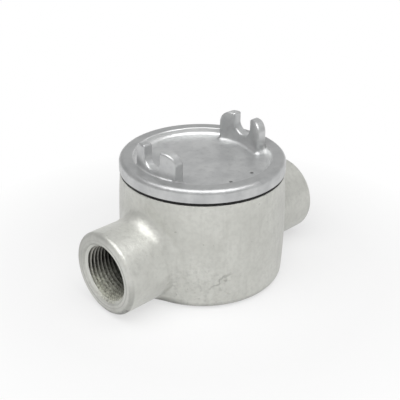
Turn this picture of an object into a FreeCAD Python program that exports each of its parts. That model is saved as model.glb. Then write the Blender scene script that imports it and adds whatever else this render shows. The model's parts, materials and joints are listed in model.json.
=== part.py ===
import FreeCAD, Part
import math
import os

Vector = FreeCAD.Vector

# Driving dimensions in millimetres. Z is up, the base stands on Z = 0 and the hubs lie along X.

# Drum of the box
body_height = 61.7
drum_base_radius = 45.8
drum_middle_radius = 46.7
base_edge_round = 4.0
top_edge_round = 0.35
wall_thickness = 5.2
floor_thickness = 5.5
floor_corner_round = 5.0

# Hubs
hub_axis_height = 23.5
hub_reach = 71.1
hub_radius = 23.1
hub_edge_round = 2.5
hub_blend_round = 8.5
hub_crease_round = 2.5
hub_thread_radius = 16.65
hub_thread_length = 22.0
hub_mouth_chamfer = 0.75
throat_radius = 13.3
throat_round = 3.0

# Mouth of the box and the screw thread of the cover
cover_thread_inset = 6.0
cover_thread_depth = 1.3
mouth_depth = 17.0
mouth_chamfer = 1.0
plug_length = 15.0
plug_chamfer = 1.2
plug_wall = 4.9

# Cover above the gasket
rim_radius = 45.7
rim_overhang = 0.3
rim_height = 7.0
rim_edge_round = 2.7
rim_inner_round = 0.7
field_radius = 37.2
field_depth = 3.9
field_slope = 0.7
field_corner_round = 2.8
cover_plate_thickness = 4.9
pocket_corner_round = 3.0

# Saddles on the cover
saddle_inner_radius = 31.3
saddle_thickness = 6.05
saddle_half_width = 15.3
saddle_height = 17.5
saddle_corner_round = 6.3
saddle_edge_round = 1.2
saddle_foot_round = 3.0
saddle_heel_round = 1.1
notch_half_width = 5.9
notch_floor_height = 6.2

# Gasket
gasket_thickness = 1.85
gasket_inset = 0.35
gasket_bulge = 0.3
gasket_neck_clearance = 0.4

# Ground screw and its boss on the floor
ground_screw_offset = 27.0
boss_radius = 5.4
boss_height = 4.5
screw_radius = 2.4
screw_hole_clearance = 0.05
screw_length = 7.0
screw_hole_spare = 1.0
screw_flange_radius = 4.6
screw_flange_thickness = 0.9
screw_head_height = 3.2
screw_across_flats = 7.9
screw_slot_width = 1.2
screw_slot_depth = 1.4

# Levels and radii that follow from them
drum_top_radius = rim_radius - rim_overhang
cover_thread_radius = rim_radius - cover_thread_inset
gasket_top = body_height + gasket_thickness
rim_top = gasket_top + rim_height
field_level = rim_top - field_depth
pocket_ceiling = field_level - cover_plate_thickness
plug_bottom = body_height - plug_length
plug_radius = cover_thread_radius - cover_thread_depth
pocket_radius = plug_radius - plug_wall
saddle_outer_radius = saddle_inner_radius + saddle_thickness
boss_top = floor_thickness + boss_height
slack = 1.0


def line(start, end):
    return Part.makeLine(Vector(*start), Vector(*end))


def turned(edges, centre=(0, 0, 0), axis=(0, 0, 1)):
    """Solid of revolution from the closed half section made by the edges."""
    section = Part.Face(Part.Wire(edges))
    return section.revolve(Vector(*centre), Vector(*axis), 360)


def polygon(points):
    """Edges of the closed outline through the points."""
    return [line(a, b) for a, b in zip(points, points[1:] + points[:1])]


def kinds_beside(shape, edge):
    """Kinds of surface that meet at an edge of the shape."""
    sides = [face for face in shape.Faces if any(edge.isSame(other) for other in face.Edges)]
    return {face.Surface.__class__.__name__ for face in sides}


def hub_roots(casting):
    """Edges where the straight round of a hub runs into the crowned wall of the drum."""
    kinds_of = [(edge, kinds_beside(casting, edge)) for edge in casting.Edges]
    return [edge for edge, kinds in kinds_of if "Cylinder" in kinds and kinds - {"Cylinder", "Plane"}]


def edges_at_level(shape, level):
    """Edges that lie wholly in the horizontal plane at the level."""
    box_of = [(edge, edge.BoundBox) for edge in shape.Edges]
    return [edge for edge, box in box_of if abs(box.ZMin - level) < 1e-4 and abs(box.ZMax - level) < 1e-4]


def drum_radius_at(level, inset=0.0):
    """Radius of the crowned drum wall at a level, or of a wall that lies inset inside it."""
    wall = Part.Arc(
        Vector(0, drum_base_radius, 0),
        Vector(0, drum_middle_radius, hub_axis_height),
        Vector(0, drum_top_radius, body_height),
    )
    crown = wall.toShape().Curve
    outward = 1 if crown.Center.y < drum_middle_radius else -1
    radius = crown.Radius - outward * inset
    return crown.Center.y + outward * math.sqrt(radius ** 2 - (level - crown.Center.z) ** 2)


def drum_solid(bottom, top, inset=0.0):
    """Crowned drum between two levels. Its half section lies in the YZ plane."""
    middle = (bottom + top) / 2
    crown = Part.Arc(
        Vector(0, drum_radius_at(bottom, inset), bottom),
        Vector(0, drum_radius_at(middle, inset), middle),
        Vector(0, drum_radius_at(top, inset), top),
    )
    edges = [
        crown.toShape(),
        line((0, drum_radius_at(top, inset), top), (0, 0, top)),
        line((0, 0, top), (0, 0, bottom)),
        line((0, 0, bottom), (0, drum_radius_at(bottom, inset), bottom)),
    ]
    return turned(edges)


def casting_quarter():
    """Quarter of the drum with half of a hub, whose blend is wide on top and narrows to a crease below."""
    top = Vector(-hub_reach, 0, hub_axis_height + hub_radius)
    bottom = Vector(-hub_reach, 0, hub_axis_height - hub_radius)
    bulge = Part.Arc(top, Vector(-hub_reach, -hub_radius, hub_axis_height), bottom).toShape()
    half_hub = Part.Face(Part.Wire([bulge, Part.makeLine(bottom, top)])).extrude(Vector(hub_reach, 0, 0))
    span = 2 * hub_reach
    quarter = Part.makeBox(span, span, 2 * span, Vector(-span, -span, -span))
    casting = drum_solid(-hub_radius, body_height).common(quarter).fuse(half_hub).removeSplitter()
    return casting.makeFillet(hub_blend_round, hub_crease_round, hub_roots(casting))


def casting_outside():
    """Drum and hubs blended into each other, cut flat at the base and softened at the edges."""
    casting = casting_quarter()
    for across in (Vector(0, 1, 0), Vector(1, 0, 0)):
        casting = casting.fuse(casting.mirror(Vector(0, 0, 0), across))
    span = 4 * hub_reach
    above_floor = Part.makeBox(span, span, 2 * body_height, Vector(-span / 2, -span / 2, 0))
    casting = casting.common(above_floor)
    casting = casting.makeFillet(base_edge_round, edges_at_level(casting, 0))
    casting = casting.makeFillet(top_edge_round, edges_at_level(casting, body_height))
    ends = [(e, e.BoundBox) for e in casting.Edges if abs(abs(e.BoundBox.Center.x) - hub_reach) < 1e-4]
    return casting.makeFillet(hub_edge_round, [e for e, box in ends if box.YLength > 1e-4])


def chamber():
    """Hollow of the box: wiring space that follows the drum wall, and the straight tapped mouth."""
    shoulder = body_height - mouth_depth
    space = drum_solid(floor_thickness, shoulder, wall_thickness)
    space = space.makeFillet(floor_corner_round, edges_at_level(space, floor_thickness))
    step = drum_radius_at(shoulder, wall_thickness) - cover_thread_radius
    neck = [
        (0, 0, shoulder),
        (0, cover_thread_radius + step, shoulder),
        (0, cover_thread_radius, shoulder + step),
        (0, cover_thread_radius, body_height - mouth_chamfer),
        (0, cover_thread_radius + mouth_chamfer + slack, body_height + slack),
        (0, 0, body_height + slack),
    ]
    return space.fuse(turned(polygon(neck)))


def hub_bore():
    """Tapped bore of the hub on +X, with a mouth chamfer and a throat that is rounded inwards."""
    thread_end = hub_reach - hub_thread_length
    throat_end = drum_radius_at(hub_axis_height, wall_thickness) - slack
    flare_start = throat_end + throat_round
    level = hub_axis_height
    outline = [
        line((0, 0, level), (hub_reach + slack, 0, level)),
        line(
            (hub_reach + slack, 0, level),
            (hub_reach + slack, 0, level + hub_thread_radius + hub_mouth_chamfer + slack),
        ),
        line(
            (hub_reach + slack, 0, level + hub_thread_radius + hub_mouth_chamfer + slack),
            (hub_reach - hub_mouth_chamfer, 0, level + hub_thread_radius),
        ),
        line(
            (hub_reach - hub_mouth_chamfer, 0, level + hub_thread_radius),
            (thread_end, 0, level + hub_thread_radius),
        ),
        line((thread_end, 0, level + hub_thread_radius), (thread_end, 0, level + throat_radius)),
        line((thread_end, 0, level + throat_radius), (flare_start, 0, level + throat_radius)),
        Part.Arc(
            Vector(flare_start, 0, level + throat_radius),
            Vector(
                flare_start - throat_round * math.sin(math.radians(45)),
                0,
                level + throat_radius + throat_round * (1 - math.cos(math.radians(45))),
            ),
            Vector(throat_end, 0, level + throat_radius + throat_round),
        ).toShape(),
        line((throat_end, 0, level + throat_radius + throat_round), (0, 0, level + throat_radius + throat_round)),
        line((0, 0, level + throat_radius + throat_round), (0, 0, level)),
    ]
    return turned(outline, (0, 0, level), (1, 0, 0))


def make_box_body():
    bore = hub_bore()
    casting = casting_outside().cut(bore)
    casting = casting.cut(bore.mirror(Vector(0, 0, 0), Vector(1, 0, 0)))
    casting = casting.cut(chamber())
    seat = Vector(0, ground_screw_offset, floor_thickness / 2)
    boss = Part.makeCylinder(boss_radius, boss_top - floor_thickness / 2, seat)
    casting = casting.fuse(boss).removeSplitter()
    hole_depth = screw_length + screw_hole_spare
    hole = Part.makeCylinder(
        screw_radius + screw_hole_clearance,
        hole_depth + slack,
        Vector(0, ground_screw_offset, boss_top - hole_depth),
    )
    return casting.cut(hole).Solids[0]


def make_cover_gasket():
    inner = plug_radius + gasket_neck_clearance
    outer = rim_radius - gasket_inset
    foot = outer - gasket_bulge
    section = [
        line((0, inner, body_height), (0, foot, body_height)),
        Part.Arc(
            Vector(0, foot, body_height),
            Vector(0, outer, body_height + gasket_thickness / 2),
            Vector(0, foot, gasket_top),
        ).toShape(),
        line((0, foot, gasket_top), (0, inner, gasket_top)),
        line((0, inner, gasket_top), (0, inner, body_height)),
    ]
    return turned(section)


def cover_disc():
    """Turned form of the cover: rim, sunk field on top, plug below and the pocket inside the plug."""
    section = [
        (0, 0, field_level),
        (0, field_radius, field_level),
        (0, field_radius + field_slope, rim_top),
        (0, rim_radius, rim_top),
        (0, rim_radius, gasket_top),
        (0, plug_radius, gasket_top),
        (0, plug_radius, plug_bottom + plug_chamfer),
        (0, plug_radius - plug_chamfer, plug_bottom),
        (0, pocket_radius, plug_bottom),
        (0, pocket_radius, pocket_ceiling),
        (0, 0, pocket_ceiling),
    ]
    disc = turned(polygon(section))

    def rings(radius, level):
        return [
            edge
            for edge in edges_at_level(disc, level)
            if edge.Curve.__class__.__name__ == "Circle" and abs(edge.Curve.Radius - radius) < 1e-4
        ]

    disc = disc.makeFillet(rim_edge_round, rings(rim_radius, rim_top))
    disc = disc.makeFillet(rim_inner_round, rings(field_radius + field_slope, rim_top))
    disc = disc.makeFillet(field_corner_round, rings(field_radius, field_level))
    return disc.makeFillet(pocket_corner_round, rings(pocket_radius, pocket_ceiling))


def saddle():
    """Saddle on +X: two posts with a U-notch between them for the turning bar, on an arc of the rim."""
    root = field_level - cover_plate_thickness / 2
    top = field_level + saddle_height
    shoulder = top - saddle_corner_round
    notch_centre = field_level + notch_floor_height + notch_half_width
    bend = saddle_corner_round * (1 - math.sin(math.radians(45)))

    def post_corner(side):
        edge = side * saddle_half_width
        return Part.Arc(
            Vector(0, edge, shoulder),
            Vector(0, edge - side * bend, top - bend),
            Vector(0, edge - side * saddle_corner_round, top),
        ).toShape()

    inner_corner = saddle_half_width - saddle_corner_round
    outline = [
        line((0, -saddle_half_width, root), (0, -saddle_half_width, shoulder)),
        post_corner(-1),
        line((0, -inner_corner, top), (0, -notch_half_width, top)),
        line((0, -notch_half_width, top), (0, -notch_half_width, notch_centre)),
        Part.Arc(
            Vector(0, -notch_half_width, notch_centre),
            Vector(0, 0, notch_centre - notch_half_width),
            Vector(0, notch_half_width, notch_centre),
        ).toShape(),
        line((0, notch_half_width, notch_centre), (0, notch_half_width, top)),
        line((0, notch_half_width, top), (0, inner_corner, top)),
        post_corner(1),
        line((0, saddle_half_width, shoulder), (0, saddle_half_width, root)),
        line((0, saddle_half_width, root), (0, -saddle_half_width, root)),
    ]
    slab = Part.Face(Part.Wire(outline)).extrude(Vector(saddle_outer_radius, 0, 0))
    tall = saddle_height + cover_plate_thickness
    tube = Part.makeCylinder(saddle_outer_radius, tall, Vector(0, 0, root))
    tube = tube.cut(Part.makeCylinder(saddle_inner_radius, tall, Vector(0, 0, root)))
    post_pair = slab.common(tube)
    soft = [e for e in post_pair.Edges if e.BoundBox.ZMax > field_level + slack and e.BoundBox.ZMin >= root]
    return post_pair.makeFillet(saddle_edge_round, soft)


def footed_saddles():
    """Both saddles on a thin plate, with their feet flared onto it. The rim takes in the plate's edge."""
    first = saddle()
    second = first.mirror(Vector(0, 0, 0), Vector(1, 0, 0))
    plate_radius = saddle_outer_radius + saddle_foot_round + slack
    thickness = cover_plate_thickness / 2
    plate = Part.makeCylinder(plate_radius, thickness, Vector(0, 0, field_level - thickness))
    posts = plate.fuse([first, second])
    feet = [e for e in edges_at_level(posts, field_level) if e.BoundBox.DiagonalLength < plate_radius]
    return posts.makeFillet(saddle_foot_round, feet)


def saddle_heel():
    """Flare that joins the outer face of the saddle on +X to the top of the rim, over its straight width."""
    flat_half_width = saddle_half_width - saddle_edge_round
    spread = math.degrees(math.asin(flat_half_width / saddle_outer_radius))
    root = saddle_outer_radius - saddle_thickness / 2
    toe = saddle_outer_radius + saddle_heel_round
    bottom = rim_top - saddle_heel_round
    top = rim_top + saddle_heel_round
    bend = saddle_heel_round * (1 - math.sin(math.radians(45)))
    section = [
        line((root, 0, bottom), (toe, 0, bottom)),
        line((toe, 0, bottom), (toe, 0, rim_top)),
        Part.Arc(
            Vector(toe, 0, rim_top),
            Vector(saddle_outer_radius + bend, 0, rim_top + bend),
            Vector(saddle_outer_radius, 0, top),
        ).toShape(),
        line((saddle_outer_radius, 0, top), (root, 0, top)),
        line((root, 0, top), (root, 0, bottom)),
    ]
    face = Part.Face(Part.Wire(section))
    face.rotate(Vector(0, 0, 0), Vector(0, 0, 1), -spread)
    return face.revolve(Vector(0, 0, 0), Vector(0, 0, 1), 2 * spread)


def make_cover():
    heel = saddle_heel()
    heels = [heel, heel.mirror(Vector(0, 0, 0), Vector(1, 0, 0))]
    return cover_disc().fuse([footed_saddles(), *heels]).removeSplitter().Solids[0]


def make_ground_screw():
    """Hexagon washer-head screw with a driver slot, seated on its boss."""
    seat = Vector(0, ground_screw_offset, boss_top)
    shank = Part.makeCylinder(screw_radius, screw_length, seat - Vector(0, 0, screw_length))
    flange = Part.makeCylinder(screw_flange_radius, screw_flange_thickness, seat)
    corner = screw_across_flats / 2 / math.cos(math.radians(30))
    turns = [math.radians(60 * k) for k in range(6)]
    hexagon = [(corner * math.cos(t), ground_screw_offset + corner * math.sin(t), boss_top) for t in turns]
    head = Part.Face(Part.Wire(polygon(hexagon))).extrude(Vector(0, 0, screw_head_height))
    slot = Part.makeBox(
        2 * screw_flange_radius + 2 * slack,
        screw_slot_width,
        screw_slot_depth + slack,
        Vector(
            -screw_flange_radius - slack,
            ground_screw_offset - screw_slot_width / 2,
            boss_top + screw_head_height - screw_slot_depth,
        ),
    )
    return shank.fuse([flange, head]).cut(slot).removeSplitter().Solids[0]


os.makedirs("parts", exist_ok=True)
make_box_body().exportStep("parts/box_body.step")
make_cover_gasket().exportStep("parts/cover_gasket.step")
make_cover().exportStep("parts/cover.step")
make_ground_screw().exportStep("parts/ground_screw.step")
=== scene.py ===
import json
import math
import bmesh
import bpy
from mathutils import Matrix, Vector


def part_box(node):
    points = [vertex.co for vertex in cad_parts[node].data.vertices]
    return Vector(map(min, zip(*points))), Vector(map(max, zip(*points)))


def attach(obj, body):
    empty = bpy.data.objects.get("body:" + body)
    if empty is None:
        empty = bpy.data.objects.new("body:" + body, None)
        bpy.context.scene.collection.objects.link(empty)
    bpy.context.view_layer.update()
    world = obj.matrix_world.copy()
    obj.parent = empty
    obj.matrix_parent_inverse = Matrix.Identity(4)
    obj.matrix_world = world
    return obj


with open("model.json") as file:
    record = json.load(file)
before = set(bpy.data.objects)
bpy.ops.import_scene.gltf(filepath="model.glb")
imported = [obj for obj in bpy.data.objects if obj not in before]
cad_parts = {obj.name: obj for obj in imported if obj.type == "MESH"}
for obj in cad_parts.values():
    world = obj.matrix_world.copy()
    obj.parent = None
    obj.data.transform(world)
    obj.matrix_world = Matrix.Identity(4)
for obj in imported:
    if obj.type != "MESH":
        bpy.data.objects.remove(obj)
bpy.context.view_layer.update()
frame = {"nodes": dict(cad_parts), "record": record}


# Box: one sand casting in iron, a drum with a hub on each of two opposite sides and a flat base.
# It is sprayed all over with dull silver paint, through which the grain of the mould shows.
# The paint is scuffed at the ends of the hubs and rough low on the front of the drum. The edges and end faces
# of the hubs, the foot and the creases under the hubs are painted darker, as shade.
def start_finish(name, metal):
    """New material with its node tree, its main shader and the place on the piece, in metres."""
    finish = bpy.data.materials.new(name)
    finish.use_nodes = True
    tree = finish.node_tree
    shader = tree.nodes["Principled BSDF"]
    shader.inputs["Metallic"].default_value = metal
    place = tree.nodes.new("ShaderNodeTexCoord").outputs["Object"]
    return finish, tree, shader, place


def end_finish(tree, shader, colour, roughness, surface):
    """Gives the main shader its colour, its roughness and the relief of its surface."""
    tree.links.new(colour, shader.inputs["Base Color"])
    tree.links.new(roughness, shader.inputs["Roughness"])
    tree.links.new(surface, shader.inputs["Normal"])


def grain(tree, place, size, detail, stretch=(1, 1, 1)):
    """Soft random pattern around one half, with lumps of about the size given, in metres."""
    mapping = tree.nodes.new("ShaderNodeMapping")
    mapping.inputs["Scale"].default_value = [1 / (size * pull) for pull in stretch]
    noise = tree.nodes.new("ShaderNodeTexNoise")
    noise.inputs["Scale"].default_value = 1.0
    noise.inputs["Detail"].default_value = detail
    tree.links.new(place, mapping.inputs["Vector"])
    tree.links.new(mapping.outputs["Vector"], noise.inputs["Vector"])
    return noise.outputs["Fac"]


def ramp(tree, value, start, end, low=0.0, high=1.0, zero=0.0):
    """Value spread to run from low at the start to high at the end, both of them counted from zero."""
    spread = tree.nodes.new("ShaderNodeMapRange")
    spread.inputs["From Min"].default_value = zero + start
    spread.inputs["From Max"].default_value = zero + end
    spread.inputs["To Min"].default_value = low
    spread.inputs["To Max"].default_value = high
    tree.links.new(value, spread.inputs["Value"])
    return spread.outputs["Result"]


def patches(tree, place, size, detail, spread, amount=1.0, stretch=(1, 1, 1)):
    """Random patches of about the size given, in metres: 0 between them, the amount inside them."""
    return ramp(tree, grain(tree, place, size, detail, stretch), *spread, high=amount)


def combine(tree, operation, first, second):
    """Two values put together by one arithmetic step. The second may be a plain number."""
    step = tree.nodes.new("ShaderNodeMath")
    step.operation = operation
    tree.links.new(first, step.inputs[0])
    if isinstance(second, (int, float)):
        step.inputs[1].default_value = second
    else:
        tree.links.new(second, step.inputs[1])
    return step.outputs["Value"]


def both(tree, mask, *others):
    """Masks multiplied, so that only what lies in all of them is left."""
    for other in others:
        mask = combine(tree, "MULTIPLY", mask, other)
    return mask


def either(tree, mask, *others):
    """Greatest of several masks, so that what lies in any of them is left."""
    for other in others:
        mask = combine(tree, "MAXIMUM", mask, other)
    return mask


def off_by(tree, value, middle):
    """How far a value lies from a middle one, either way."""
    return combine(tree, "ABSOLUTE", combine(tree, "SUBTRACT", value, middle), 0)


def shifted(tree, place, shift, keep=(1, 1, 1)):
    """Place moved by a shift. A 0 in keep drops that direction."""
    mapping = tree.nodes.new("ShaderNodeMapping")
    mapping.inputs["Location"].default_value = shift
    mapping.inputs["Scale"].default_value = keep
    tree.links.new(place, mapping.inputs["Vector"])
    return mapping.outputs["Vector"]


def split(tree, place):
    """The three coordinates of a place."""
    parts = tree.nodes.new("ShaderNodeSeparateXYZ")
    tree.links.new(place, parts.inputs["Vector"])
    return parts.outputs["X"], parts.outputs["Y"], parts.outputs["Z"]


def measure(tree, operation, place, other=(0, 0, 0)):
    """One number read from a place: its length, its distance from a point or its reach along a direction."""
    step = tree.nodes.new("ShaderNodeVectorMath")
    step.operation = operation
    step.inputs[1].default_value = other
    tree.links.new(place, step.inputs[0])
    return step.outputs["Value"]


def tint(tree, amount, first, second):
    """Colour between two others, each a plain colour or the output of an earlier step."""
    mix = tree.nodes.new("ShaderNodeMix")
    mix.data_type = "RGBA"
    sockets = [s for s in mix.inputs if s.type == "RGBA"]
    for socket, colour in zip(sockets, (first, second)):
        if isinstance(colour, tuple):
            socket.default_value = (*colour, 1)
        else:
            tree.links.new(colour, socket)
    tree.links.new(amount, mix.inputs["Factor"])
    return next(s for s in mix.outputs if s.type == "RGBA")


def relief(tree, height, depth, under=None):
    """Surface normal pushed in and out by a height pattern, over an earlier relief if there is one."""
    bump = tree.nodes.new("ShaderNodeBump")
    bump.inputs["Strength"].default_value = 1.0
    bump.inputs["Distance"].default_value = depth
    tree.links.new(height, bump.inputs["Height"])
    if under is not None:
        tree.links.new(under, bump.inputs["Normal"])
    return bump.outputs["Normal"]


def dress(piece, finish):
    """Gives a piece one finish all over."""
    if not piece.material_slots:
        piece.data.materials.append(finish)
    for slot in piece.material_slots:
        slot.material = finish


hub_mount = next(m for m in frame["record"]["mounts"] if m["name"] == "hub_plus_x")
hub_height = hub_mount["pos_m"][2]
hub_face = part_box("box_body")[1][0]
hub_outside = 0.0231
hub_edge_round = 0.0025


def hub_distances(tree, place):
    """Distance from the axis of the hubs, distance along it from the middle of the box, and height."""
    radial = measure(tree, "LENGTH", shifted(tree, place, (0, 0, -hub_height), keep=(0, 1, 1)))
    along, _, height = split(tree, place)
    return radial, combine(tree, "ABSOLUTE", along, 0), height


def round_the_hub(tree, place, turn):
    """Distance from the axis of the hubs towards a turn in degrees, from the top of a hub to its front."""
    towards = (0, -math.sin(math.radians(turn)), math.cos(math.radians(turn)))
    return measure(tree, "DOT_PRODUCT", shifted(tree, place, (0, 0, -hub_height)), towards)


paint_dark = (0.56, 0.562, 0.525)
paint_light = (0.65, 0.653, 0.613)
paint_worn = (0.45, 0.45, 0.42)
nick_colour = (0.17, 0.17, 0.155)
scuff_and_shade_colour = (0.15, 0.15, 0.14)
paint, tree, shader, place = start_finish("silver_paint_on_casting", metal=0.4)
clouds = patches(tree, place, size=0.016, detail=4, spread=(0.32, 0.68))
coat = tint(tree, clouds, paint_dark, paint_light)
mottle = patches(tree, place, size=0.0022, detail=3, spread=(0.42, 0.66), amount=0.3)
coat = tint(tree, mottle, coat, paint_worn)
streaks = patches(tree, place, size=0.0028, detail=3, spread=(0.52, 0.72), amount=0.3, stretch=(1, 1, 9))
coat = tint(tree, streaks, coat, paint_worn)
nicks = patches(tree, place, size=0.0026, detail=5, spread=(0.7, 0.78), amount=0.7)
coat = tint(tree, nicks, coat, nick_colour)

# The two distances of a hub add up to the most on the rounded edge of its end.
radial, outward, height = hub_distances(tree, place)
edge_sum = hub_face + hub_outside - hub_edge_round
edge_rise = (0.02 * hub_edge_round, 0.3 * hub_edge_round)
on_edge = ramp(tree, combine(tree, "ADD", radial, outward), *edge_rise, zero=edge_sum)
scuffed_below = (-0.004, -0.015)
scuffs_and_edge_shade = patches(tree, place, size=0.0035, detail=4, spread=(0.46, 0.62), amount=0.6)
scuffs_and_edge_shade = both(tree, scuffs_and_edge_shade, ramp(tree, height, *scuffed_below, zero=hub_height))
# Painted shade: the rounded edge of each hub's end is painted darker all round, except on the side that faces
# the light.
shaded_edge_turn = 25
shaded_edge_reach = (0.0155, 0.0085)
painted_edge_shade = ramp(tree, round_the_hub(tree, place, shaded_edge_turn), *shaded_edge_reach, high=0.3)
scuffs_and_edge_shade = both(tree, combine(tree, "ADD", scuffs_and_edge_shade, painted_edge_shade), on_edge)
coat = tint(tree, scuffs_and_edge_shade, coat, scuff_and_shade_colour)

end_depth = (-0.003, -0.0005)
on_end = ramp(tree, outward, *end_depth, zero=hub_face)
# Painted shade: the end of each hub is painted darker low at its front, where the floor under it is in
# shadow.
lower_end_shade_turn = 145
lower_end_shade_reach = (0.014, 0.021)
end_shade_and_ring = ramp(tree, round_the_hub(tree, place, lower_end_shade_turn), *lower_end_shade_reach, high=0.3)
# Painted shade: the end of each hub is also painted darker at its upper left, which faces away from the
# light.
upper_end_shade_turn = -45
upper_end_shade_reach = (0.008, 0.016)
upper_end_shade = ramp(tree, round_the_hub(tree, place, upper_end_shade_turn), *upper_end_shade_reach, high=0.3)
ring_radius = 0.019
ring_width = (0.0006, 0.0001)
turned_ring = ramp(tree, off_by(tree, radial, ring_radius), *ring_width, high=0.4)
end_shade_and_ring = both(tree, either(tree, end_shade_and_ring, upper_end_shade, turned_ring), on_end)
coat = tint(tree, end_shade_and_ring, coat, scuff_and_shade_colour)

# Painted shade: the paint is darker towards the base, where the box meets the floor.
foot_height = (0.0042, 0.0004)
painted_foot_shade = ramp(tree, height, *foot_height, high=0.5)
coat = tint(tree, painted_foot_shade, coat, scuff_and_shade_colour)
# Painted shadow: the crease where each hub meets the base of the drum is painted darker.
crease_height = (0.0055, 0.0018)
crease_start = (0.035, 0.041)
crease_end = (0.046, 0.044)
painted_crease_shade = ramp(tree, height, *crease_height, high=0.75)
painted_crease_shade = both(tree, painted_crease_shade, ramp(tree, outward, *crease_start), ramp(tree, outward, *crease_end))
coat = tint(tree, painted_crease_shade, coat, scuff_and_shade_colour)

# The rough patch has dents all over and one crooked scratch that climbs to the right across it.
grain_spread = (0.3, 0.7)
to_the_right = (0.717, -0.697, 0)
rough_spot = (-0.0321, -0.0332, 0.012)
rough_reach = (0.024, 0.014)
rough_cast = ramp(tree, measure(tree, "DISTANCE", place, rough_spot), *rough_reach)
hollow_spread = (0.47, 0.35)
dents = grain(tree, place, size=0.0026, detail=4)
hollows = ramp(tree, dents, *hollow_spread, high=0.17)
scratch_slope = 0.62
scratch_level = 0.0112
scratch_sway = 0.0022
scratch_width = (0.0013, 0.0002)
scratch_start = (0.003, 0.006)
scratch_end = (0.0175, 0.015)
sideways = measure(tree, "DOT_PRODUCT", place, to_the_right)
climb = combine(tree, "SUBTRACT", height, combine(tree, "MULTIPLY", sideways, scratch_slope))
sway = grain(tree, place, size=0.0045, detail=2)
sway = ramp(tree, sway, *grain_spread, low=-scratch_sway, high=scratch_sway)
off_scratch = off_by(tree, combine(tree, "ADD", climb, sway), scratch_level)
scratch = ramp(tree, off_scratch, *scratch_width, high=0.45)
scratch = both(tree, scratch, ramp(tree, sideways, *scratch_start), ramp(tree, sideways, *scratch_end))
rough_marks = both(tree, either(tree, hollows, scratch), rough_cast)
coat = tint(tree, rough_marks, coat, nick_colour)

speckle = grain(tree, place, size=0.0009, detail=2)
roughness = ramp(tree, speckle, *grain_spread, low=0.32, high=0.44)
lumps = grain(tree, place, size=0.006, detail=2)
sand = grain(tree, place, size=0.0011, detail=3)
surface = relief(tree, lumps, depth=0.00025)
surface = relief(tree, both(tree, dents, rough_cast), depth=0.0010, under=surface)
surface = relief(tree, sand, depth=0.00012, under=surface)
end_finish(tree, shader, coat, roughness, surface)
dress(frame["nodes"]["box_body"], paint)


# Hub threads: tapered conduit thread tapped into both hubs, right-handed, 11.5 threads to the inch.
# The cut metal is bright on the crests and dirty in the roots, which are also painted darker as their shade,
# and it is painted darker further in, as shade deep in the bore.
# Mist of the paint has settled on the lower half of the bore and on its bevelled mouth. The mist on the lower
# half is made paler also as painted light, where the bore faces up into the light.
def threaded_ring(name, pitch, start, end, radius_at, back_radius, around):
    """Closed ring along Z: one side follows the thread, the other lies in the wall behind it."""
    rows_per_turn = 12
    spare_turns = 2
    turns = math.ceil((end - start) / pitch) + 2 * spare_turns
    rows = turns * rows_per_turn + 1
    mesh = bmesh.new()

    def corner(radius, angle, along):
        return mesh.verts.new((radius * math.cos(angle), radius * math.sin(angle), along))

    skin = []
    back = []
    for step in range(around):
        turn = step / around
        angle = 2 * math.pi * turn
        column = []
        for row in range(rows):
            run = start + pitch * (row / rows_per_turn + turn - spare_turns)
            along = min(max(run, start), end)
            column.append(corner(radius_at(along, along / pitch - turn), angle, along))
        skin.append(column)
        back.append((corner(back_radius, angle, start), corner(back_radius, angle, end)))
    for step in range(around):
        beyond = (step + 1) % around
        shift = rows_per_turn if beyond == 0 else 0
        near = skin[step]
        far = skin[beyond]
        for row in range(rows - 1 - shift):
            mesh.faces.new((near[row], far[row + shift], far[row + shift + 1], near[row + 1]))
        mesh.faces.new((near[0], back[step][0], back[beyond][0], far[0]))
        mesh.faces.new((near[-1], far[-1], back[beyond][1], back[step][1]))
        mesh.faces.new((back[step][0], back[step][1], back[beyond][1], back[beyond][0]))
    bmesh.ops.remove_doubles(mesh, verts=mesh.verts, dist=1e-7)
    bmesh.ops.dissolve_degenerate(mesh, edges=mesh.edges, dist=1e-8)
    bmesh.ops.recalc_face_normals(mesh, faces=mesh.faces)
    data = bpy.data.meshes.new(name)
    mesh.to_mesh(data)
    mesh.free()
    data.shade_smooth()
    data.set_sharp_from_angle(angle=math.radians(28))
    ring = bpy.data.objects.new(name, data)
    bpy.context.scene.collection.objects.link(ring)
    return ring


def ridge(turns, crest_half, root_half):
    """Height of a thread from 0 at its root to 1 at its crest, by the place in turns along it."""
    off_crest = abs(turns - math.floor(turns) - 0.5)
    return min(max((root_half - off_crest) / (root_half - crest_half), 0.0), 1.0)


hub_wall = hub_mount["dims"]["r_mm"] / 1000
hub_thread_length = hub_mount["dims"]["length_mm"] / 1000
hub_mouth_bevel = 0.00075
hub_pitch = 0.0254 / 11.5
hub_thread_depth = 0.8 * hub_pitch
hub_crest_half = 0.04
hub_root_half = 0.46
hub_taper = 1 / 32
hub_thread_end = hub_face - hub_mouth_bevel
hub_thread_start = hub_thread_end - hub_thread_length
hub_lead_in = 0.0012
hub_lead_out = 0.0004
hub_thread_phase = 0.69
clear_of_wall = 0.00003
set_in_wall = 0.00005


def hub_radius_at(along, turns):
    """Radius of the hub's thread: a countersunk mouth, then the tapered cut."""
    inward = hub_thread_end - along
    countersink = hub_wall - clear_of_wall - inward
    root = hub_wall - clear_of_wall - hub_taper * inward
    crest = max(root - hub_thread_depth, countersink)
    cut = root - (root - crest) * ridge(turns + hub_thread_phase, hub_crest_half, hub_root_half)
    threaded = min(max((inward - hub_lead_in) / hub_lead_out, 0.0), 1.0)
    return countersink + (cut - countersink) * threaded


crest_bright = (0.52, 0.51, 0.465)
root_dirt_and_shade = (0.09, 0.088, 0.078)
depth_shade_black = (0.012, 0.012, 0.011)
mist_dark = (0.33, 0.332, 0.28)
mist_light = (0.72, 0.723, 0.63)
cut_metal, tree, shader, place = start_finish("bare_cut_metal", metal=1.0)
radial, outward, height = hub_distances(tree, place)
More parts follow.
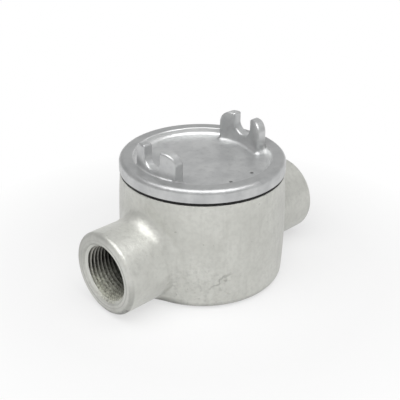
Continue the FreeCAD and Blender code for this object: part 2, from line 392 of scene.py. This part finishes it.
# Dirt and painted shade: the roots of the thread are darker than its crests.
crest_reach = (-0.0007, -0.0019)
mark_spread = (0.3, 0.6)
tool_marks = grain(tree, place, size=0.0012, detail=3)
rubbed = ramp(tree, radial, *crest_reach, zero=hub_wall)
rubbed = both(tree, rubbed, ramp(tree, tool_marks, *mark_spread, low=0.6))
metal = tint(tree, rubbed, root_dirt_and_shade, crest_bright)
# Painted shade: the metal is painted darker further into the bore, where less light reaches.
shaded_depth = (-0.003, -0.016)
metal = tint(tree, ramp(tree, outward, *shaded_depth, zero=hub_face, high=0.95), metal, depth_shade_black)
# Paint mist and painted light: the lower half of the bore is made paler, where it faces up into the light.
mist_below = (-0.002, -0.010)
mist_depth = (-0.019, -0.006)
mist_patches = patches(tree, place, size=0.0013, detail=3, spread=(0.38, 0.62))
mist_and_painted_light = ramp(tree, height, *mist_below, zero=hub_height, high=0.9)
mist_and_painted_light = both(tree, mist_and_painted_light, ramp(tree, outward, *mist_depth, zero=hub_face, low=0.25))
metal = tint(tree, mist_and_painted_light, metal, tint(tree, mist_patches, mist_dark, mist_light))
mouth_edge = (-0.0001, 0.0001)
rubbed_below = (-0.0165, -0.0130)
on_mouth = ramp(tree, outward, *mouth_edge, zero=hub_thread_end - hub_lead_in)
on_mouth = both(tree, on_mouth, ramp(tree, height, *rubbed_below, zero=hub_height, low=0.15))
metal = tint(tree, on_mouth, metal, paint_light)
bare = ramp(tree, either(tree, mist_and_painted_light, on_mouth), 0, 1, low=0.8, high=0.2)
tree.links.new(bare, shader.inputs["Metallic"])
roughness = ramp(tree, tool_marks, *grain_spread, low=0.32, high=0.5)
surface = relief(tree, grain(tree, place, size=0.0006, detail=3), depth=0.00008)
end_finish(tree, shader, metal, roughness, surface)

for side, half_turn in (("plus_x", 0), ("minus_x", math.pi)):
    thread = threaded_ring(
        "hub_thread_" + side, hub_pitch, hub_thread_start, hub_thread_end, hub_radius_at,
        back_radius=hub_wall + set_in_wall, around=128,
    )
    lay_along_x = Matrix.Rotation(math.pi / 2, 4, "Y")
    turn_about = Matrix.Rotation(half_turn, 4, "Z")
    thread.data.transform(Matrix.Translation((0, 0, hub_height)) @ turn_about @ lay_along_x)
    dress(thread, cut_metal)
    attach(thread, "box")


# Mouth thread: the female half of the cover's screw thread, 12 to the inch, cut into the top of the box.
# It is turned bare in the iron, duller than the cover, and its ridges stand between those of the cover.
cover_pitch = 0.0254 / 12
cover_thread_depth = 0.0011
cover_crest_half = 1 / 12
cover_root_half = 5 / 12
between_ridges = 0.5
mouth_wall = 0.0397
mouth_bevel = 0.001
mouth_thread_length = 0.0136
mouth_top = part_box("box_body")[1][2] - mouth_bevel
mouth_bottom = mouth_top - mouth_thread_length
run_out = 0.0001


def mouth_radius_at(along, turns):
    """Radius of the mouth's thread: ridges that stand in from the wall and fade out at the top."""
    crest = mouth_wall - cover_thread_depth * ridge(turns + between_ridges, cover_crest_half, cover_root_half)
    lead_in = mouth_wall - run_out - (mouth_top - along)
    return max(crest, lead_in)


cut_bright = (0.56, 0.555, 0.52)
cut_dull = (0.36, 0.355, 0.33)
dull_spread = (0.35, 0.65)
turned_iron, tree, shader, place = start_finish("turned_iron", metal=0.85)
turned_marks = grain(tree, place, size=0.0016, detail=3, stretch=(1, 1, 0.3))
metal = tint(tree, ramp(tree, turned_marks, *dull_spread), cut_dull, cut_bright)
roughness = ramp(tree, turned_marks, *grain_spread, low=0.3, high=0.48)
surface = relief(tree, grain(tree, place, size=0.0006, detail=3), depth=0.00005)
end_finish(tree, shader, metal, roughness, surface)

mouth_thread = threaded_ring(
    "mouth_thread", cover_pitch, mouth_bottom, mouth_top, mouth_radius_at,
    back_radius=mouth_wall + set_in_wall, around=192,
)
dress(mouth_thread, turned_iron)
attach(mouth_thread, "box")


# Ground screw: a steel screw with a slotted hexagon washer head, driven into its boss on the floor.
# It is dyed green over its plating, and the green is paler and darker in patches.
green_dark = (0.015, 0.13, 0.05)
green_light = (0.04, 0.26, 0.10)
green_plating, tree, shader, place = start_finish("green_dyed_plating", metal=0.6)
wear = grain(tree, place, size=0.0015, detail=3)
green = tint(tree, wear, green_dark, green_light)
roughness = ramp(tree, wear, *grain_spread, low=0.28, high=0.45)
surface = relief(tree, grain(tree, place, size=0.0005, detail=2), depth=0.00003)
end_finish(tree, shader, green, roughness, surface)
dress(frame["nodes"]["ground_screw"], green_plating)


# Gasket: a flat ring of black rubber, moulded, that lies on the neck of the cover under its rim.
# The squeezed edge that shows between cover and box is a little dusty.
rubber_black = (0.008, 0.008, 0.008)
rubber_dusty = (0.03, 0.03, 0.028)
dust_spread = (0.45, 0.75)
rubber, tree, shader, place = start_finish("black_gasket_rubber", metal=0.0)
shader.inputs["Specular IOR Level"].default_value = 0.25
dust = grain(tree, place, size=0.003, detail=4)
black = tint(tree, ramp(tree, dust, *dust_spread), rubber_black, rubber_dusty)
roughness = ramp(tree, dust, *grain_spread, low=0.5, high=0.7)
surface = relief(tree, grain(tree, place, size=0.0006, detail=2), depth=0.00004)
end_finish(tree, shader, black, roughness, surface)
dress(frame["nodes"]["cover_gasket"], rubber)


# Cover: one aluminium casting, a rim round a sunk field with a notched saddle on either side of it.
# It is left bare with the soft shine of tumbling, slightly wavy, and faintly stained in patches.
# The top of the rim is painted darker as shade, the wall of the field is painted brighter as a reflection,
# and the saddles are rubbed smooth.
bare_grey = (0.49, 0.497, 0.50)
bare_bright = (0.60, 0.606, 0.605)
stain_and_shade_grey = (0.34, 0.345, 0.345)
wall_painted_shine = (0.86, 0.865, 0.86)
pit_dark = (0.10, 0.10, 0.10)
rim_height = 0.007
saddle_height = 0.0175
rim_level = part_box("cover_gasket")[1][2] + rim_height
field_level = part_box("cover")[1][2] - saddle_height
field_edge = 0.0379
bare_cast, tree, shader, place = start_finish("bare_cast_aluminium", metal=0.65)
stains = patches(tree, place, size=0.010, detail=5, spread=(0.35, 0.65))
metal = tint(tree, stains, bare_grey, bare_bright)
spots = patches(tree, place, size=0.0032, detail=3, spread=(0.54, 0.76), amount=0.35)
metal = tint(tree, spots, metal, stain_and_shade_grey)

side_x, side_y, height = split(tree, place)
off_axis = measure(tree, "LENGTH", shifted(tree, place, (0, 0, 0), keep=(1, 1, 0)))
# Painted shade: the flat top of the rim is painted darker.
rim_inside = (0, 0.0008)
rim_top = (-0.0012, -0.0003)
rim_top_shade = ramp(tree, off_axis, *rim_inside, zero=field_edge)
rim_top_shade = both(tree, rim_top_shade, ramp(tree, height, *rim_top, zero=rim_level, high=0.45))
metal = tint(tree, rim_top_shade, metal, stain_and_shade_grey)
# Painted reflection: the wall round the field is painted brighter.
wall_inside = (-0.0028, -0.0014)
wall_outside = (0.0006, 0)
wall_top = (0.0002, -0.0004)
wall_shine_mask = ramp(tree, off_axis, *wall_inside, zero=field_edge)
wall_shine_mask = both(tree, wall_shine_mask, ramp(tree, off_axis, *wall_outside, zero=field_edge))
wall_shine_mask = both(tree, wall_shine_mask, ramp(tree, height, *wall_top, zero=rim_level, high=0.7))
metal = tint(tree, wall_shine_mask, metal, wall_painted_shine)

pit_place = (0.00795, -0.0295, field_level)
pit_radius = 0.00095
pit_edge = (1.3 * pit_radius, 0.7 * pit_radius)
either_side = tree.nodes.new("ShaderNodeCombineXYZ")
tree.links.new(combine(tree, "ABSOLUTE", side_x, 0), either_side.inputs["X"])
tree.links.new(side_y, either_side.inputs["Y"])
tree.links.new(height, either_side.inputs["Z"])
off_pit = measure(tree, "DISTANCE", either_side.outputs["Vector"], pit_place)
metal = tint(tree, ramp(tree, off_pit, *pit_edge, high=0.9), metal, pit_dark)

saddle_foot = (0, 0.003)
polish = ramp(tree, height, *saddle_foot, low=1, high=0.95, zero=rim_level)
smooth_saddles = ramp(tree, height, *saddle_foot, low=1, high=0.3, zero=rim_level)
tumbled = grain(tree, place, size=0.0014, detail=3)
waves = grain(tree, place, size=0.007, detail=2)
roughness = both(tree, ramp(tree, tumbled, *grain_spread, low=0.31, high=0.42), polish)
surface = relief(tree, waves, depth=0.0002)
surface = relief(tree, both(tree, tumbled, smooth_saddles), depth=0.00006, under=surface)
end_finish(tree, shader, metal, roughness, surface)
dress(frame["nodes"]["cover"], bare_cast)


# Cover thread: the male half of the screw thread, cut round the plug under the rim.
# It is bare aluminium like the rest of the cover, which it turns with.
plug_core = 0.0384
set_in_plug = 0.0004
below_gasket = 0.0012
above_plug_end = 0.0013
plug_thread_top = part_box("cover_gasket")[0][2] - below_gasket
plug_thread_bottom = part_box("cover")[0][2] + above_plug_end


def plug_radius_at(along, turns):
    """Radius of the plug's thread: ridges that stand out from the core and fade out at both ends."""
    crest = plug_core + cover_thread_depth * ridge(turns, cover_crest_half, cover_root_half)
    lead_in = plug_core - run_out + (along - plug_thread_bottom)
    fade_out = plug_core - run_out + (plug_thread_top - along)
    return min(crest, lead_in, fade_out)


cover_thread = threaded_ring(
    "cover_thread", cover_pitch, plug_thread_bottom, plug_thread_top, plug_radius_at,
    back_radius=plug_core - set_in_plug, around=192,
)
dress(cover_thread, bare_cast)
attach(cover_thread, "cover")


# Floor: a wide sheet of matt white board that the box stands on, with the box's shadow on it.
# Away from the box the eye and the metal see it as plain white paper.
floor_size = 6.0
floor_drop = 0.0002
board_tones = ((0.80, 0.80, 0.80), (0.82, 0.82, 0.82))
shadow_reach = (0.10, 0.17)
board_whitened = 0.6
half = floor_size / 2
corners = [(-half, -half, 0), (half, -half, 0), (half, half, 0), (-half, half, 0)]
floor_mesh = bpy.data.meshes.new("floor")
floor_mesh.from_pydata(corners, [], [(0, 1, 2, 3)])
floor = bpy.data.objects.new("floor", floor_mesh)
bpy.context.scene.collection.objects.link(floor)
floor.location.z = -floor_drop
board, tree, shader, place = start_finish("white_board", metal=0.0)
shader.inputs["Roughness"].default_value = 0.9
shader.inputs["Specular IOR Level"].default_value = 0.0
board_tone = tint(tree, grain(tree, place, size=0.2, detail=2), *board_tones)
tree.links.new(board_tone, shader.inputs["Base Color"])


def seen_or_mirrored(tree):
    """Two masks: what the eye sees straight on, and what it sees in metal or through glass."""
    rays = tree.nodes.new("ShaderNodeLightPath")
    mirrored = either(tree, rays.outputs["Is Glossy Ray"], rays.outputs["Is Transmission Ray"])
    return rays.outputs["Is Camera Ray"], mirrored


straight, mirrored = seen_or_mirrored(tree)
paper = ramp(tree, measure(tree, "LENGTH", place), *shadow_reach, low=board_whitened)
paper = both(tree, paper, either(tree, straight, mirrored))
plain_white = tree.nodes.new("ShaderNodeEmission")
blend = tree.nodes.new("ShaderNodeMixShader")
tree.links.new(paper, blend.inputs["Fac"])
tree.links.new(shader.outputs["BSDF"], blend.inputs[1])
tree.links.new(plain_white.outputs["Emission"], blend.inputs[2])
tree.links.new(blend.outputs["Shader"], tree.nodes["Material Output"].inputs["Surface"])
dress(floor, board)


# Studio light: a wide soft box overhead, a soft fill from the front and a pale room all round.
# The eye sees the room as white. The metal sees it dimmer, most of all to the left and to the front.
# It adds only a little light of its own, more from the right than from the left.
def soft_box(name, turn, rise, distance, width, depth, power):
    """Soft box at a turn from +X and a rise from the floor, in degrees, aimed at the box."""
    lamp = bpy.data.lights.new(name, "AREA")
    lamp.shape = "RECTANGLE"
    lamp.size = width
    lamp.size_y = depth
    lamp.energy = power
    holder = bpy.data.objects.new(name, lamp)
    bpy.context.scene.collection.objects.link(holder)
    level = math.cos(math.radians(rise))
    sight = Vector((
        level * math.cos(math.radians(turn)),
        level * math.sin(math.radians(turn)),
        math.sin(math.radians(rise)),
    ))
    holder.location = lamp_aim + distance * sight
    holder.rotation_euler = sight.to_track_quat("Z", "Y").to_euler()
    return holder


front_turn = -134
lamp_aim = Vector((0, 0, 0.04))
soft_box("overhead_soft_box", front_turn - 4, rise=75, distance=1.0, width=1.5, depth=0.85, power=11.2)
front_fill = soft_box("front_fill", front_turn - 10, rise=30, distance=1.3, width=0.9, depth=0.9, power=6.2)
front_fill.visible_glossy = False

to_the_front = (-0.615, -0.633, 0.469)
left_to_right = (-0.7, 0.7)
side_to_front = (0.3, 0.95)
left_side = (-0.8, -0.1)
back_side = (0.1, -0.3)
low_down = (0.38, 0.1)
room = bpy.data.worlds.new("pale_room")
room.use_nodes = True
tree = room.node_tree
backdrop = tree.nodes["Background"]
backdrop.inputs["Color"].default_value = (1, 1, 1, 1)
direction = tree.nodes.new("ShaderNodeTexCoord").outputs["Generated"]
frontward = measure(tree, "DOT_PRODUCT", direction, to_the_front)
rightward = measure(tree, "DOT_PRODUCT", direction, to_the_right)
_, _, upward = split(tree, direction)
room_light = ramp(tree, rightward, *left_to_right, low=0.04, high=0.21)
room_shine = ramp(tree, frontward, *side_to_front, low=0.55, high=0.35)
low_behind = both(tree, ramp(tree, upward, *low_down), ramp(tree, frontward, *back_side))
room_shine = either(tree, room_shine, low_behind)
room_shine = both(tree, room_shine, ramp(tree, rightward, *left_side, low=0.45))
straight, mirrored = seen_or_mirrored(tree)
brightness = either(tree, straight, both(tree, mirrored, room_shine), room_light)
tree.links.new(brightness, backdrop.inputs["Strength"])
bpy.context.scene.world = room


# Camera: in front of the box, to the left and above, looking down on the cover and into one hub.
# Its place, its slight roll and its long lens give the view of the reference photograph.
camera_place = Vector((-0.2715, -0.2794, 0.2444))
camera_aim = Vector((0.00047, 0.00222, 0.0410))
camera_roll = math.radians(0.43)
lens = bpy.data.cameras.new("camera")
lens.sensor_width = 36.0
lens.lens = 70.1
lens.clip_start = 0.01
camera = bpy.data.objects.new("camera", lens)
bpy.context.scene.collection.objects.link(camera)
camera.location = camera_place
facing = (camera_aim - camera_place).to_track_quat("-Z", "Y").to_matrix().to_4x4()
camera.rotation_euler = (facing @ Matrix.Rotation(camera_roll, 4, "Z")).to_euler()
bpy.context.scene.camera = camera
bpy.context.scene.view_settings.view_transform = "Standard"
